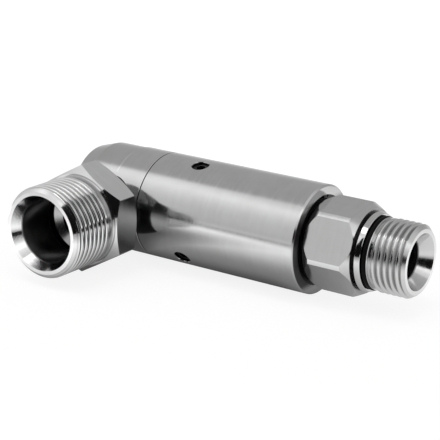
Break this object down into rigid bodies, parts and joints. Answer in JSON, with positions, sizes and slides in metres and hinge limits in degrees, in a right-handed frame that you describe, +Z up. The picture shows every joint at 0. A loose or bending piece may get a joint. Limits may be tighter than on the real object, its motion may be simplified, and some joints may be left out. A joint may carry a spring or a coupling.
{
  "type": "swivel joint",
  "caption": "Right-angle hydraulic swivel joint: a turned barrel on an elbow head with a hexagon inlet adapter, and a hollow threaded shaft that spins in ball bearings.",
  "frame": {"origin": "on the shaft's axis, at the outer end of the outlet thread's full diameter, 1.3 mm inside the outlet face", "axes": "+X along the shaft and out of the outlet, -Y out of the inlet, +Z up"},
  "size_m": [0.1098, 0.0608, 0.0322],
  "materials": {
    "turned_steel": "turned and polished",
    "plain_steel": "turned",
    "hard_steel": "ground",
    "bronze": "turned",
    "black_rubber": "moulded nitrile",
    "ptfe": "skived"
  },
  "bodies": {
    "housing": {"barrel": "turned_steel", "elbow_head": "turned_steel", "inlet_adapter": "turned_steel", "adapter_seal_ring": "black_rubber", "body_seal_ring": "black_rubber", "grub_screws": "hard_steel", "bearing_shim": "plain_steel", "rear_outer_race": "hard_steel", "outer_spacer": "plain_steel", "front_outer_race": "hard_steel", "pressure_seal": "black_rubber", "seal_energiser": "black_rubber", "backup_ring": "ptfe", "gland_bush": "bronze", "tail_guide_strip": "ptfe", "dust_wiper": "black_rubber", "wiper_clip": "hard_steel"},
    "shaft": {"outlet_shaft": "turned_steel", "rear_inner_race": "hard_steel", "inner_spacer": "plain_steel", "front_inner_race": "hard_steel", "shaft_clip": "hard_steel", "outlet_washer": "plain_steel", "outlet_o_ring": "black_rubber"},
    "rear_ball_set": {"rear_balls": "hard_steel", "rear_cage": "bronze"},
    "front_ball_set": {"front_balls": "hard_steel", "front_cage": "bronze"}
  },
  "joints": [
    {"name": "shaft_spin", "type": "hinge", "parent": "housing", "child": "shaft", "pos_m": [-0.0411, 0, 0], "axis": [1, 0, 0], "continuous": true},
    {"name": "rear_cage_spin", "type": "hinge", "parent": "housing", "child": "rear_ball_set", "pos_m": [-0.0603, 0, 0], "axis": [1, 0, 0], "continuous": true},
    {"name": "front_cage_spin", "type": "hinge", "parent": "housing", "child": "front_ball_set", "pos_m": [-0.0411, 0, 0], "axis": [1, 0, 0], "continuous": true}
  ],
  "couplings": [
    {"joint": "rear_cage_spin", "follows": "shaft_spin", "ratio": 0.43895},
    {"joint": "front_cage_spin", "follows": "shaft_spin", "ratio": 0.43895}
  ]
}
